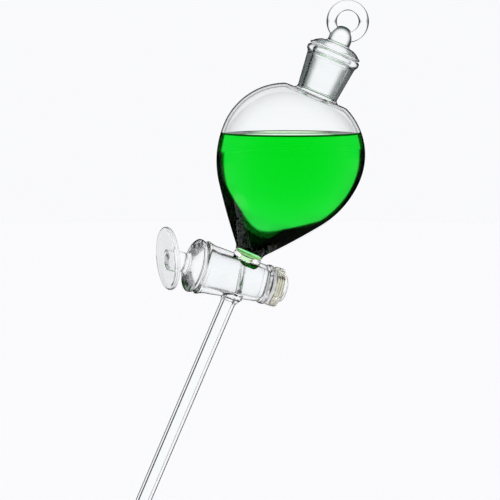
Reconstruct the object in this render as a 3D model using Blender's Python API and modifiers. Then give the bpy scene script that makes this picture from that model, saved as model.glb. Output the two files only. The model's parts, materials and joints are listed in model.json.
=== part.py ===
"""Separatory funnel: a pear-shaped glass funnel with a ring-grip stopper and a glass stopcock.

Every piece is modelled in the funnel's own upright frame: z runs up its axis and is 0 at the bulb's
widest circle. One empty then leans the whole funnel, as a clamp would hold it, and the liquid inside
stays level. The stopcock's pieces are turned about the key's axis, which has an empty of its own.
Lengths are in metres and angles in radians. Radii are outer radii unless the name says otherwise.
"""
import math

import bmesh
import bpy
from mathutils import Matrix, Vector

MM = 0.001
GAP = 0.3 * MM                              # clearance between pieces that touch or are ground together

# How the funnel is held
LEAN = math.radians(23.0)                   # its top leans towards +X
LIQUID_LEVEL = 10.0 * MM                    # above the centre of the bulb's widest circle

# Bulb: two arcs that meet at the widest circle, then a rounded cone and a hollow fillet into the throat
BULB_RADIUS = 41.5 * MM
BULB_WALL = 1.6 * MM
SHOULDER_ARC = 37.5 * MM
BELLY_ARC = 54.0 * MM
BELLY_END = 36.0                            # how steep the belly's arc ends, in degrees off the axis
CONE_ARC = 411.0 * MM                       # the cone is very slightly rounded
CONE_END = 41.0                             # degrees off the axis where the throat's fillet takes over
SHOULDER_TOP = 34.5 * MM                    # height of the flat ring round the neck
SHOULDER_ROUND = 2.5 * MM
BULB_FOOT = -59.5 * MM                      # where the bulb is joined to the throat

# Throat: the short wide tube between the bulb and the stopcock
THROAT_RADIUS = 7.9 * MM
THROAT_WALL = 1.3 * MM
THROAT_FILLET = 6.0 * MM
THROAT_SKIRT = 8.9 * MM                     # radius of the weld that spreads on the barrel
SKIRT_TOP = -65.8 * MM
THROAT_BORE_TOP = -63.1 * MM                # where the bulb's cone inside becomes the throat's bore

# Neck: a conical socket, ground inside, with a rounded lip
NECK_FOOT_RADIUS = 11.9 * MM
NECK_TOP_RADIUS = 14.3 * MM
LIP_RADIUS = 15.5 * MM
LIP_TOP = 60.5 * MM
LIP_HEIGHT = 4.2 * MM
LIP_ROUND = 1.47 * MM
SOCKET_MOUTH = 11.1 * MM                    # inner radius at the lip
SOCKET_TAPER = math.radians(4.5)            # half-angle of the ground cone
SOCKET_DEPTH = 22.5 * MM

# Stopper: a solid ground plug, a domed head, and a ring on a short round post
PLUG_FOOT = 37.0 * MM
HEAD_RADIUS = 14.9 * MM
HEAD_EDGE = 1.5 * MM
HEAD_TOP = 65.4 * MM
HEAD_CROWN = 7.0 * MM                       # radius of the flat on which the post stands
POST_RADIUS = 6.5 * MM
RING_CENTRE = 79.6 * MM
RING_RADIUS = 9.0 * MM                      # middle of the ring's round bar
RING_BAR = 2.9 * MM
POST_TOP = 76.3 * MM

# Stopcock barrel, along the key's axis: positive towards the handle, 0 where it meets the funnel's axis
KEY_HEIGHT = -76.8 * MM
BARREL_SKEW = math.radians(6.5)             # off square to the funnel's axis, handle end low
BARREL_YAW = math.radians(15.0)             # handle end turned towards the front, -Y
BARREL_LIP = 22.9 * MM
BARREL_TAIL = -17.9 * MM
BARREL_LIP_RADIUS = 15.3 * MM
BARREL_LIP_WIDTH = 1.6 * MM
BARREL_FLARE_END = 14.6 * MM
BARREL_LARGE = 13.6 * MM
BARREL_SMALL = 10.7 * MM
BARREL_BEAD_RADIUS = 11.4 * MM
BARREL_BEAD_WIDTH = 3.2 * MM
BARREL_BEAD_ROUND = 0.2 * MM
SIDE_HOLE = 2.5 * MM                        # radius of the holes that the funnel drains through

# Key: a ground taper with one cross bore, a collar and thumb disc on one end, a knob on the other
KEY_LARGE = 10.4 * MM                       # plug radius at the barrel's lip
KEY_TAPER = 0.05                            # 1 in 10 on the diameter
KEY_BORE = 2.0 * MM
KEY_REST_TURN = math.radians(45.0)          # the bore stands this far from open: shut
PLUG_LARGE_END = 23.8 * MM
PLUG_SMALL_END = -18.1 * MM
COLLAR_NEAR = 24.1 * MM
COLLAR_FAR = 30.6 * MM
COLLAR_RADIUS = 15.3 * MM
COLLAR_FOOT_RADIUS = 12.3 * MM
HANDLE_POST_RADIUS = 5.6 * MM
HANDLE_POST_FLARE = 1.4 * MM                # how much wider the post is where it meets the collar
DISC_CENTRE = 42.6 * MM
DISC_RADIUS = 17.8 * MM
DISC_THICKNESS = 3.4 * MM
DISC_TILT = math.radians(-18.0)             # the hand-set disc leans off square to the key
DISC_YAW = math.radians(7.0)                # and is turned a little further to the front
TAIL_NECK_RADIUS = 5.5 * MM
KNOB_RADIUS = 7.6 * MM
KNOB_NEAR = -24.7 * MM
KNOB_FAR = -28.4 * MM
KNOB_ROUND = 0.6 * MM
WASHER_NEAR = -18.2 * MM
WASHER_THICKNESS = 1.2 * MM
WASHER_RADIUS = 10.4 * MM
RETAINER_NEAR = -19.7 * MM
RETAINER_WIDTH = 4.7 * MM
RETAINER_RADIUS = 11.2 * MM
RETAINER_RIB = 0.35 * MM
RETAINER_RIBS = 3

# Drain stem
STEM_RADIUS = 4.25 * MM
STEM_BORE = 2.6 * MM
STEM_TIP = -222.0 * MM                      # where the slanting cut crosses the axis
STEM_CUT = math.radians(45.0)
WELD_RADIUS = 6.4 * MM
WELD_HEIGHT = 3.6 * MM
WELD_TOP = -86.0 * MM

# Cutting tools, each longer or larger than what it cuts
DRILL_LENGTH = 44.0 * MM
TIP_BLOCK = 40.0 * MM
DISC_BLOCK = 60.0 * MM
AIR_BLOCK = 120.0 * MM

# Fineness of the turned surfaces
BULB_SIDES = 48
COLLAR_SIDES = 32
TUBE_SIDES = 24


# ---------------------------------------------------------------- outlines, as (radius, height) points

def arc(centre, radius, start, end, steps):
    """Points on an arc about centre, from angle start to angle end in degrees, both ends included."""
    points = []
    for i in range(steps + 1):
        angle = math.radians(start + (end - start) * i / steps)
        points.append((centre[0] + radius * math.cos(angle), centre[1] + radius * math.sin(angle)))
    return points


def cone_centre():
    """Centre of the cone's long arc, which carries on from the belly's arc in the same direction."""
    end = math.radians(BELLY_END)
    return (BULB_RADIUS - BELLY_ARC - (CONE_ARC - BELLY_ARC) * math.cos(end), (CONE_ARC - BELLY_ARC) * math.sin(end))


def bulb_outline(inset, foot):
    """The bulb's side from its flat shoulder down to the height foot, moved inwards by inset."""
    shoulder_centre = BULB_RADIUS - SHOULDER_ARC
    # The small round between the flat shoulder and the arc under it touches both from inside.
    reach = SHOULDER_ARC - SHOULDER_ROUND
    rise = SHOULDER_TOP - SHOULDER_ROUND
    turn = math.degrees(math.asin(rise / reach))
    round_centre = (shoulder_centre + math.sqrt(reach ** 2 - rise ** 2), rise)
    points = arc(round_centre, SHOULDER_ROUND - inset, 90.0, turn, 3)
    points += arc((shoulder_centre, 0.0), SHOULDER_ARC - inset, turn, 0.0, 9)[1:]
    points += arc((BULB_RADIUS - BELLY_ARC, 0.0), BELLY_ARC - inset, 0.0, -BELLY_END, 6)[1:]
    cone = arc(cone_centre(), CONE_ARC - inset, -BELLY_END, -CONE_END, 4)[1:]
    points += [point for point in cone if point[1] > foot]
    points.append((cone_radius(foot, inset), foot))
    return points


def throat_fillet(inset):
    """The hollow fillet from the cone to the throat, moved inwards by inset."""
    slope = math.radians(CONE_END)
    edge = arc(cone_centre(), CONE_ARC, -CONE_END, 0.0, 1)[0]
    start_radius = THROAT_RADIUS + THROAT_FILLET * (1.0 - math.cos(slope))
    start_height = edge[1] - (edge[0] - start_radius) / math.tan(slope)
    centre = (THROAT_RADIUS + THROAT_FILLET, start_height - THROAT_FILLET * math.sin(slope))
    return arc(centre, THROAT_FILLET + inset, 180.0 - CONE_END, 180.0, 4)


def cone_radius(height, inset):
    """Radius of the bulb's cone at a height, moved inwards by inset."""
    centre = cone_centre()
    return centre[0] + math.sqrt((CONE_ARC - inset) ** 2 - (height - centre[1]) ** 2)


def socket_radius(height):
    """Inner radius of the ground neck socket."""
    depth = min(LIP_TOP - height, SOCKET_DEPTH)
    return SOCKET_MOUTH - depth * math.tan(SOCKET_TAPER)


def key_radius(along):
    """Radius of the key's ground taper."""
    return KEY_LARGE - (BARREL_LIP - along) * KEY_TAPER


# ---------------------------------------------------------------- scene and object helpers

def clear_scene():
    for obj in list(bpy.data.objects):
        bpy.data.objects.remove(obj, do_unlink=True)
    for collection in list(bpy.data.collections):
        bpy.data.collections.remove(collection)


def new_collection(name):
    collection = bpy.data.collections.new(name)
    bpy.context.scene.collection.children.link(collection)
    return collection


def make_material(name, colour, roughness, metallic=0.0, transmission=0.0):
    material = bpy.data.materials.new(name)
    material.use_nodes = True
    shader = material.node_tree.nodes["Principled BSDF"]
    shader.inputs["Base Color"].default_value = (*colour, 1.0)
    shader.inputs["Roughness"].default_value = roughness
    shader.inputs["Metallic"].default_value = metallic
    shader.inputs["Transmission Weight"].default_value = transmission
    material.diffuse_color = (*colour, 1.0)
    return material


def new_empty(name, collection, parent, matrix):
    empty = bpy.data.objects.new(name, None)
    empty.empty_display_size = 20.0 * MM
    collection.objects.link(empty)
    empty.parent = parent
    empty.matrix_local = matrix
    return empty


def add_object(name, mesh, collection, parent):
    obj = bpy.data.objects.new(name, mesh)
    collection.objects.link(obj)
    obj.parent = parent
    return obj


def turned(name, outline, sides, collection, parent, closed):
    """A solid turned about z from an outline that runs down its outer side.

    A closed outline makes a ring or a tube; an open one starts and ends on the axis.
    """
    mesh = bpy.data.meshes.new(name)
    points = [(radius, 0.0, height) for radius, height in outline]
    edges = [(i, i + 1) for i in range(len(points) - 1)]
    if closed:
        edges.append((len(points) - 1, 0))
    mesh.from_pydata(points, edges, [])
    obj = add_object(name, mesh, collection, parent)
    screw = obj.modifiers.new("turn", 'SCREW')
    screw.axis = 'Z'
    screw.angle = math.tau
    screw.steps = sides
    screw.render_steps = sides
    screw.use_merge_vertices = True
    screw.merge_threshold = 0.00001
    screw.use_smooth_shade = True
    return obj


def as_cutter(obj):
    obj.hide_render = True
    obj.display_type = 'WIRE'
    return obj


def cut(obj, cutter, operation='DIFFERENCE'):
    boolean = obj.modifiers.new(cutter.name, 'BOOLEAN')
    boolean.operation = operation
    boolean.solver = 'EXACT'
    boolean.object = cutter


def rod_mesh(name, radius, length, sides):
    """A plain cylinder along z, centred on the origin."""
    mesh = bpy.data.meshes.new(name)
    shape = bmesh.new()
    bmesh.ops.create_cone(shape, cap_ends=True, segments=sides, radius1=radius, radius2=radius, depth=length)
    shape.to_mesh(mesh)
    shape.free()
    return mesh


def block_mesh(name, size):
    """A cube centred on the origin."""
    mesh = bpy.data.meshes.new(name)
    shape = bmesh.new()
    bmesh.ops.create_cube(shape, size=size)
    shape.to_mesh(mesh)
    shape.free()
    return mesh


# ---------------------------------------------------------------- glass body

def barrel_outline():
    """The stopcock barrel as a closed outline: a flared lip, a taper, a bead, and the ground bore."""
    outside = arc((BARREL_LIP_RADIUS - BARREL_LIP_WIDTH / 2, BARREL_LIP - BARREL_LIP_WIDTH / 2),
                  BARREL_LIP_WIDTH / 2, 90.0, -60.0, 4)
    flare_drop = outside[-1][1] - BARREL_FLARE_END
    flare_rise = outside[-1][0] - BARREL_LARGE
    for i in range(1, 5):
        part = i / 4
        outside.append((BARREL_LARGE + flare_rise * (1.0 - part) ** 2, outside[4][1] - flare_drop * part))
    for part in (1.0, 0.75, 0.5, 0.25, 0.0):
        radius = BARREL_BEAD_RADIUS if part == 0.5 else BARREL_BEAD_RADIUS - BARREL_BEAD_ROUND
        outside.append((BARREL_SMALL if part in (0.0, 1.0) else radius, BARREL_TAIL + BARREL_BEAD_WIDTH * part))
    inside = [(key_radius(along) + GAP, along) for along in (BARREL_TAIL, BARREL_LIP)]
    return outside + inside


def barrel_envelope(name, gap, cutters, key_frame):
    """A solid of the barrel's taper grown by gap, which trims the throat and the stem to fit it."""
    outline = [(0.0, BARREL_LIP), (BARREL_LARGE + gap, BARREL_LIP), (BARREL_LARGE + gap, BARREL_FLARE_END),
               (BARREL_SMALL + gap, BARREL_TAIL + BARREL_BEAD_WIDTH), (0.0, BARREL_TAIL)]
    return as_cutter(turned(name, outline, COLLAR_SIDES, cutters, key_frame, False))


def build_neck_socket(parts, funnel, material):
    lip = LIP_HEIGHT / 2
    outside = [(LIP_RADIUS - lip, LIP_TOP)]
    outside += arc((LIP_RADIUS - LIP_ROUND, LIP_TOP - lip), LIP_ROUND, 70.0, -70.0, 6)
    outside.append((NECK_TOP_RADIUS, LIP_TOP - LIP_HEIGHT - GAP))
    outside.append((NECK_FOOT_RADIUS, SHOULDER_TOP + GAP))
    bore_foot = LIP_TOP - SOCKET_DEPTH
    inside = [(socket_radius(SHOULDER_TOP), SHOULDER_TOP + GAP), (socket_radius(bore_foot), bore_foot),
              (SOCKET_MOUTH, LIP_TOP)]
    obj = turned("neck_socket", outside + inside, COLLAR_SIDES, parts, funnel, True)
    obj.data.materials.append(material)


def build_bulb(parts, funnel, material):
    hole = socket_radius(SHOULDER_TOP)
    outside = [(hole, SHOULDER_TOP)] + bulb_outline(0.0, BULB_FOOT)
    inside = [(hole, SHOULDER_TOP - BULB_WALL)] + bulb_outline(BULB_WALL, BULB_FOOT)
    obj = turned("bulb", outside + inside[::-1], BULB_SIDES, parts, funnel, True)
    obj.data.materials.append(material)


def build_throat(parts, cutters, funnel, key_frame, material):
    top = BULB_FOOT - GAP
    fillet = [point for point in throat_fillet(0.0) if point[1] < top]
    foot = KEY_HEIGHT + BARREL_SMALL
    outside = [(cone_radius(top, 0.0), top)] + fillet + [(THROAT_SKIRT, SKIRT_TOP), (THROAT_SKIRT, foot)]
    inner = THROAT_RADIUS - THROAT_WALL
    inside = [(inner, foot), (inner, THROAT_BORE_TOP), (cone_radius(top, BULB_WALL), top)]
    obj = turned("throat_tube", outside + inside, COLLAR_SIDES, parts, funnel, True)
    cut(obj, barrel_envelope("barrel_space_above", GAP, cutters, key_frame))
    obj.data.materials.append(material)


def build_barrel(parts, cutters, funnel, key_frame, material):
    obj = turned("stopcock_barrel", barrel_outline(), COLLAR_SIDES, parts, key_frame, True)
    drill = add_object("side_holes", rod_mesh("side_holes", SIDE_HOLE, DRILL_LENGTH, TUBE_SIDES), cutters, funnel)
    drill.location = (0.0, 0.0, KEY_HEIGHT)
    cut(obj, as_cutter(drill))
    obj.data.materials.append(material)


def build_drain_stem(parts, cutters, funnel, key_frame, material):
    weld_arc = []
    for i in range(5):
        part = i / 4
        radius = STEM_RADIUS + (WELD_RADIUS - STEM_RADIUS) * (1.0 - part) ** 2
        weld_arc.append((radius, KEY_HEIGHT - BARREL_LARGE + 2.0 * GAP - WELD_HEIGHT * part))
    foot = STEM_TIP - STEM_RADIUS * 2.0
    outside = [(WELD_RADIUS, WELD_TOP)] + weld_arc + [(STEM_RADIUS, foot)]
    inside = [(STEM_BORE, foot), (STEM_BORE, WELD_TOP)]
    obj = turned("drain_stem", outside + inside, TUBE_SIDES, parts, funnel, True)
    cut(obj, barrel_envelope("barrel_space_below", GAP, cutters, key_frame))
    tip = add_object("slanting_tip_cut", block_mesh("slanting_tip_cut", TIP_BLOCK), cutters, funnel)
    down = Matrix.Rotation(STEM_CUT, 4, 'Y')
    tip.matrix_local = Matrix.Translation((0.0, 0.0, STEM_TIP)) @ down @ Matrix.Translation((0, 0, -TIP_BLOCK / 2))
    cut(obj, as_cutter(tip))
    obj.data.materials.append(material)


def build_liquid(parts, cutters, funnel, material):
    """The liquid fills the bulb up to its level, and stands in the throat down to the shut key."""
    inset = BULB_WALL + GAP
    outline = [(0.0, SHOULDER_TOP - inset)] + bulb_outline(inset, BULB_FOOT)
    throat = THROAT_RADIUS - THROAT_WALL - GAP
    throat_foot = KEY_HEIGHT + BARREL_LARGE + GAP
    thread = SIDE_HOLE - GAP
    outline += [(throat, throat_foot), (thread, throat_foot)]
    thread_foot = KEY_HEIGHT + KEY_LARGE + 2.0 * GAP
    outline += [(thread, thread_foot), (0.0, thread_foot)]
    obj = turned("green_liquid", outline, BULB_SIDES, parts, funnel, False)
    level = add_object("air_above_liquid", block_mesh("air_above_liquid", AIR_BLOCK), cutters, None)
    level.location = (0.0, 0.0, LIQUID_LEVEL + AIR_BLOCK / 2)
    cut(obj, as_cutter(level))
    obj.data.materials.append(material)


# ---------------------------------------------------------------- stopper

def build_stopper_plug(parts, stopper, material):
    bevel = 2.0 * GAP
    top = LIP_TOP - GAP
    outline = [(0.0, top), (socket_radius(top) - GAP, top),
               (socket_radius(PLUG_FOOT + bevel) - GAP, PLUG_FOOT + bevel),
               (socket_radius(PLUG_FOOT) - GAP - bevel, PLUG_FOOT), (0.0, PLUG_FOOT)]
    obj = turned("stopper_plug", outline, COLLAR_SIDES, parts, stopper, False)
    obj.data.materials.append(material)


def build_stopper_head(parts, stopper, material):
    base = LIP_TOP + GAP
    edge = HEAD_EDGE / 2
    outline = [(0.0, HEAD_TOP), (HEAD_CROWN, HEAD_TOP)]
    rim_top = base + HEAD_EDGE
    for i in range(1, 5):
        part = i / 4
        radius = HEAD_CROWN + (HEAD_RADIUS - edge - HEAD_CROWN) * part ** 0.8
        outline.append((radius, HEAD_TOP + (rim_top - HEAD_TOP) * part ** 1.5))
    outline += arc((HEAD_RADIUS - edge, base + edge), edge, 60.0, -90.0, 5)
    outline.append((0.0, base))
    obj = turned("stopper_head", outline, COLLAR_SIDES, parts, stopper, False)
    obj.data.materials.append(material)


def build_stopper_ring(parts, cutters, stopper, material):
    """The finger ring stands on a round post with a domed top that shows inside the ring."""
    foot = HEAD_TOP + GAP
    outline = arc((0.0, POST_TOP - POST_RADIUS), POST_RADIUS, 90.0, 0.0, 6)
    outline[0] = (0.0, POST_TOP)
    outline += [(POST_RADIUS, foot), (0.0, foot)]
    obj = turned("stopper_ring", outline, TUBE_SIDES, parts, stopper, False)
    bar = arc((RING_RADIUS, 0.0), RING_BAR, 180.0, -156.0, 14)
    ring = as_cutter(turned("finger_ring", bar, COLLAR_SIDES, cutters, stopper, True))
    ring.location = (0.0, 0.0, RING_CENTRE)
    ring.rotation_euler = (math.pi / 2, 0.0, 0.0)
    cut(obj, ring, 'UNION')
    obj.data.materials.append(material)


# ---------------------------------------------------------------- key

def build_key_plug(parts, cutters, key, material):
    outline = [(0.0, PLUG_LARGE_END), (key_radius(PLUG_LARGE_END), PLUG_LARGE_END),
               (key_radius(PLUG_SMALL_END), PLUG_SMALL_END), (0.0, PLUG_SMALL_END)]
    obj = turned("key_plug", outline, COLLAR_SIDES, parts, key, False)
    drill = add_object("cross_bore", rod_mesh("cross_bore", KEY_BORE, DRILL_LENGTH, TUBE_SIDES), cutters, key)
    across = Matrix.Rotation(math.pi / 2, 4, 'Y')
    drill.matrix_local = Matrix.Rotation(KEY_REST_TURN, 4, 'Z') @ across
    cut(obj, as_cutter(drill))
    obj.data.materials.append(material)


def disc_frame():
    """The thumb disc's own frame: its face looks along z, tipped and turned off square to the key."""
    turn = Matrix.Rotation(DISC_YAW, 4, 'X') @ Matrix.Rotation(DISC_TILT, 4, 'Y')
    return Matrix.Translation((0.0, 0.0, DISC_CENTRE)) @ turn


def build_key_handle(parts, cutters, key, material):
    """The collar that closes the barrel's lip, and the post that carries the thumb disc."""
    outline = [(0.0, DISC_CENTRE), (HANDLE_POST_RADIUS, DISC_CENTRE)]
    outline.append((HANDLE_POST_RADIUS, COLLAR_FAR + HANDLE_POST_FLARE))
    outline.append((HANDLE_POST_RADIUS + HANDLE_POST_FLARE, COLLAR_FAR))
    width = COLLAR_FAR - COLLAR_NEAR
    swell = COLLAR_RADIUS - HANDLE_POST_RADIUS - HANDLE_POST_FLARE
    for angle in (30.0, 60.0, 90.0, 125.0, 150.0):
        turn = math.radians(angle)
        radius = COLLAR_RADIUS - swell * (1.0 - math.sin(turn)) * (1.0 if angle < 90.0 else 0.4)
        outline.append((radius, COLLAR_NEAR + width * (0.45 + 0.52 * math.cos(turn))))
    outline += [(COLLAR_FOOT_RADIUS, COLLAR_NEAR), (0.0, COLLAR_NEAR)]
    obj = turned("key_handle", outline, COLLAR_SIDES, parts, key, False)
    room = add_object("disc_space", block_mesh("disc_space", DISC_BLOCK), cutters, key)
    back = DISC_THICKNESS / 2 + GAP
    room.matrix_local = disc_frame() @ Matrix.Translation((0.0, 0.0, DISC_BLOCK / 2 - back))
    cut(obj, as_cutter(room))
    obj.data.materials.append(material)


def build_thumb_disc(parts, key, material):
    rim = DISC_THICKNESS / 2
    outline = [(0.0, rim)] + arc((DISC_RADIUS - rim, 0.0), rim, 90.0, -90.0, 6) + [(0.0, -rim)]
    obj = turned("thumb_disc", outline, COLLAR_SIDES, parts, key, False)
    obj.matrix_local = disc_frame()
    obj.data.materials.append(material)


def build_key_tail(parts, key, material):
    """The narrow neck that the retainer sits on, and the rounded knob that keeps it there."""
    outline = [(0.0, PLUG_SMALL_END - GAP), (TAIL_NECK_RADIUS, PLUG_SMALL_END - GAP),
               (TAIL_NECK_RADIUS, KNOB_NEAR)]
    depth = KNOB_NEAR - KNOB_FAR
    outline += arc((KNOB_RADIUS - KNOB_ROUND, KNOB_NEAR - KNOB_ROUND), KNOB_ROUND, 90.0, 0.0, 2)
    for i in range(1, 5):
        turn = math.radians(90.0 * i / 4)
        outline.append((KNOB_RADIUS * math.cos(turn),
                        KNOB_NEAR - KNOB_ROUND - (depth - KNOB_ROUND) * math.sin(turn)))
    outline[-1] = (0.0, KNOB_FAR)
    obj = turned("key_tail", outline, TUBE_SIDES, parts, key, False)
    obj.data.materials.append(material)


def build_retaining_washer(parts, key, material):
    inner = TAIL_NECK_RADIUS + GAP
    far = WASHER_NEAR - WASHER_THICKNESS
    outline = [(WASHER_RADIUS, WASHER_NEAR), (WASHER_RADIUS, far), (inner, far), (inner, WASHER_NEAR)]
    obj = turned("retaining_washer", outline, COLLAR_SIDES, parts, key, True)
    obj.data.materials.append(material)


def build_retaining_ring(parts, key, material):
    """A soft ring with shallow ribs round it, pushed over the knob to hold the key in its barrel."""
    inner = TAIL_NECK_RADIUS + GAP
    far = RETAINER_NEAR - RETAINER_WIDTH
    outline = [(RETAINER_RADIUS - RETAINER_RIB, RETAINER_NEAR)]
    count = RETAINER_RIBS * 4
    for i in range(1, count):
        part = i / count
        wave = 0.5 - 0.5 * math.cos(part * RETAINER_RIBS * math.tau)
        outline.append((RETAINER_RADIUS - RETAINER_RIB * (1.0 - wave), RETAINER_NEAR - RETAINER_WIDTH * part))
    outline += [(RETAINER_RADIUS - RETAINER_RIB, far), (inner, far), (inner, RETAINER_NEAR)]
    obj = turned("retaining_ring", outline, COLLAR_SIDES, parts, key, True)
    obj.data.materials.append(material)


# ---------------------------------------------------------------- assembly

def key_axis_frame():
    """The stopcock's frame: z along the key towards its handle, x as near up as that allows."""
    handle = Vector((-math.cos(BARREL_YAW) * math.cos(BARREL_SKEW), -math.sin(BARREL_YAW),
                     -math.cos(BARREL_YAW) * math.sin(BARREL_SKEW)))
    back = handle.cross(Vector((0.0, 0.0, 1.0))).normalized()
    up = back.cross(handle)
    turn = Matrix((up, back, handle)).transposed().to_4x4()
    return Matrix.Translation((0.0, 0.0, KEY_HEIGHT)) @ turn


def build_funnel():
    clear_scene()
    parts = new_collection("separatory_funnel")
    cutters = new_collection("cutters")
    clear_glass = make_material("clear_glass", (0.93, 0.95, 0.95), 0.02, transmission=1.0)
    ground_glass = make_material("ground_glass", (0.90, 0.92, 0.92), 0.35, transmission=0.9)
    green_water = make_material("green_water", (0.0, 0.72, 0.06), 0.02, transmission=0.8)
    white_plastic = make_material("white_ptfe", (0.88, 0.88, 0.85), 0.4)
    soft_plastic = make_material("soft_retainer", (0.82, 0.81, 0.70), 0.45)

    funnel = new_empty("funnel_lean", parts, None, Matrix.Rotation(LEAN, 4, 'Y'))
    stopper = new_empty("stopper_slide_axis", parts, funnel, Matrix.Identity(4))
    key_frame = new_empty("key_axis", parts, funnel, key_axis_frame())

    build_neck_socket(parts, funnel, clear_glass)
    build_bulb(parts, funnel, clear_glass)
    build_throat(parts, cutters, funnel, key_frame, clear_glass)
    build_barrel(parts, cutters, funnel, key_frame, clear_glass)
    build_drain_stem(parts, cutters, funnel, key_frame, clear_glass)
    build_liquid(parts, cutters, funnel, green_water)

    build_stopper_plug(parts, stopper, ground_glass)
    build_stopper_head(parts, stopper, clear_glass)
    build_stopper_ring(parts, cutters, stopper, clear_glass)

    build_key_plug(parts, cutters, key_frame, ground_glass)
    build_key_handle(parts, cutters, key_frame, clear_glass)
    build_thumb_disc(parts, key_frame, clear_glass)
    build_key_tail(parts, key_frame, clear_glass)
    build_retaining_washer(parts, key_frame, white_plastic)
    build_retaining_ring(parts, key_frame, soft_plastic)


if __name__ == "__main__":
    build_funnel()
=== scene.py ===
"""A blown-glass separatory funnel on a pale studio floor, laid out as a Blender add-on.

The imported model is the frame: its joints give the two axes that everything is turned about, and its
nodes give the sizes. The glass is turned on a lathe of Geometry Nodes, joined where a glassblower
would fuse it, and filled with a green liquid whose surface is level.
"""
import json
import math

import bmesh
import bpy
from bpy.props import FloatProperty, FloatVectorProperty, IntProperty, PointerProperty
from mathutils import Matrix, Vector


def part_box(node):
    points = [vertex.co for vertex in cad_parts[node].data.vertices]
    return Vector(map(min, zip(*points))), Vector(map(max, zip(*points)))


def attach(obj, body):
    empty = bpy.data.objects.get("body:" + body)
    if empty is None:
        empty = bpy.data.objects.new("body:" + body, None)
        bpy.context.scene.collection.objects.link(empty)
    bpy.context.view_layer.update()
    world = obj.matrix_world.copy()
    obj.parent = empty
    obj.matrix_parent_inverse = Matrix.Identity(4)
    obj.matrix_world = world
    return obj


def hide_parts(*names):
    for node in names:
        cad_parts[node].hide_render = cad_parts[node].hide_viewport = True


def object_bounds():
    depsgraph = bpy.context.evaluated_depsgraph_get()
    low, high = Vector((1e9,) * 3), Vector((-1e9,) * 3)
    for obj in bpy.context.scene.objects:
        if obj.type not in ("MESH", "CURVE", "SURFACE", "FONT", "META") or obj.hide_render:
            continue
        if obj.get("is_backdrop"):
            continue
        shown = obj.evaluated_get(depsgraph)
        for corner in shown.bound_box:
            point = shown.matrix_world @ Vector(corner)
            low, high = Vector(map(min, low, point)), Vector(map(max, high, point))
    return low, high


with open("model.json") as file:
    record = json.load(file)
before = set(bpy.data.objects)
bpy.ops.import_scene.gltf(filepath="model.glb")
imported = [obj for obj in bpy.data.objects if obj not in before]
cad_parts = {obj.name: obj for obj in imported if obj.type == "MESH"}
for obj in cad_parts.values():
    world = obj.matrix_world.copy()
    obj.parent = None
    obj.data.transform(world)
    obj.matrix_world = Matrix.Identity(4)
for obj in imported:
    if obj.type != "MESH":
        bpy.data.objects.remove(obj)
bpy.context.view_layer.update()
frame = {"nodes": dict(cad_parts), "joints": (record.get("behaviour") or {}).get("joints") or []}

bl_info = {
    "name": "Separatory Funnel",
    "version": (1, 0, 0),
    "blender": (4, 5, 0),
    "location": "3D View > Sidebar > Funnel",
    "description": "Builds a glass separatory funnel with its stopper, stopcock and liquid",
    "category": "Add Mesh",
}

MM = 0.001
DOUBLED = 1e-6                              # vertices nearer than this are one


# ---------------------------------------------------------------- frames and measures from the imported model

def joint(name):
    return next(item for item in frame["joints"] if item["name"] == name)


def funnel_frame():
    """The funnel's own frame: z up its axis, which leans in the x-z plane, from the bulb's centre."""
    axis = Vector(joint("stopper_lift")["axis"])
    return Matrix.Rotation(math.atan2(axis.x, axis.z), 4, 'Y')


def key_frame():
    """The key's frame: z towards the handle, x as near to the funnel's axis as that allows."""
    handle = Vector(joint("key_turn")["axis"]).normalized()
    back = handle.cross(Vector(joint("stopper_lift")["axis"])).normalized()
    turn = Matrix((back.cross(handle), back, handle)).transposed().to_4x4()
    return Matrix.Translation(joint("key_turn")["pos_m"]) @ turn


FUNNEL = funnel_frame()
KEY = key_frame()


def reach(node, place):
    """Lowest and highest height of a CAD node along the z of a frame."""
    back = place.inverted()
    heights = [(back @ vertex.co).z for vertex in frame["nodes"][node].data.vertices]
    return min(heights), max(heights)


def widest(node, place):
    """Largest radius of a CAD node about the z of a frame."""
    back = place.inverted()
    return max((back @ vertex.co).xy.length for vertex in frame["nodes"][node].data.vertices)


def linear(hex_colour):
    """An sRGB hex colour as the linear values that Blender's colour sockets take."""
    values = [int(hex_colour[i:i + 2], 16) / 255.0 for i in (1, 3, 5)]
    return tuple(v / 12.92 if v <= 0.04045 else ((v + 0.055) / 1.055) ** 2.4 for v in values)


# ---------------------------------------------------------------- what a user would change

def size(name, description, value):
    return FloatProperty(name=name, description=description, default=value, min=0.0, unit='LENGTH',
                         precision=5)


def angle(name, description, degrees):
    return FloatProperty(name=name, description=description, default=math.radians(degrees), subtype='ANGLE')


def swatch(name, description, hex_colour):
    return FloatVectorProperty(name=name, description=description, subtype='COLOR', size=3,
                               default=linear(hex_colour))


class VesselSettings(bpy.types.PropertyGroup):
    bulb_radius: size("Bulb radius", "Radius of the bulb at its widest circle", widest("bulb", FUNNEL))
    bulb_wall: size("Bulb wall", "Thickness of the blown wall", 1.6 * MM)
    lip_radius: size("Lip radius", "Radius of the rounded lip of the neck", widest("neck_socket", FUNNEL))
    stem_radius: size("Stem radius", "Outer radius of the drain stem", 4.25 * MM)
    stem_bore: size("Stem bore", "Radius of the bore of the drain stem", 2.6 * MM)
    sides: IntProperty(name="Sides", description="Facets round each turned surface", default=144, min=24)


class FinishSettings(bpy.types.PropertyGroup):
    glass: swatch("Glass", "Tint of the clear borosilicate glass", "#FFFFFF")
    frosted: swatch("Ground glass", "Tint of the ground joints", "#FFFFFF")
    liquid: swatch("Liquid", "Colour that the liquid lets through", "#04FAA4")
    liquid_density: FloatProperty(name="Liquid density", default=80.0, min=0.0,
                                  description="How strongly the liquid absorbs, per metre")
    fluoropolymer: swatch("Washer", "White of the turned washer", "#FDFDF9")
    retainer: swatch("Retainer", "Yellowed white of the soft retaining ring", "#FFFFF6")


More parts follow.
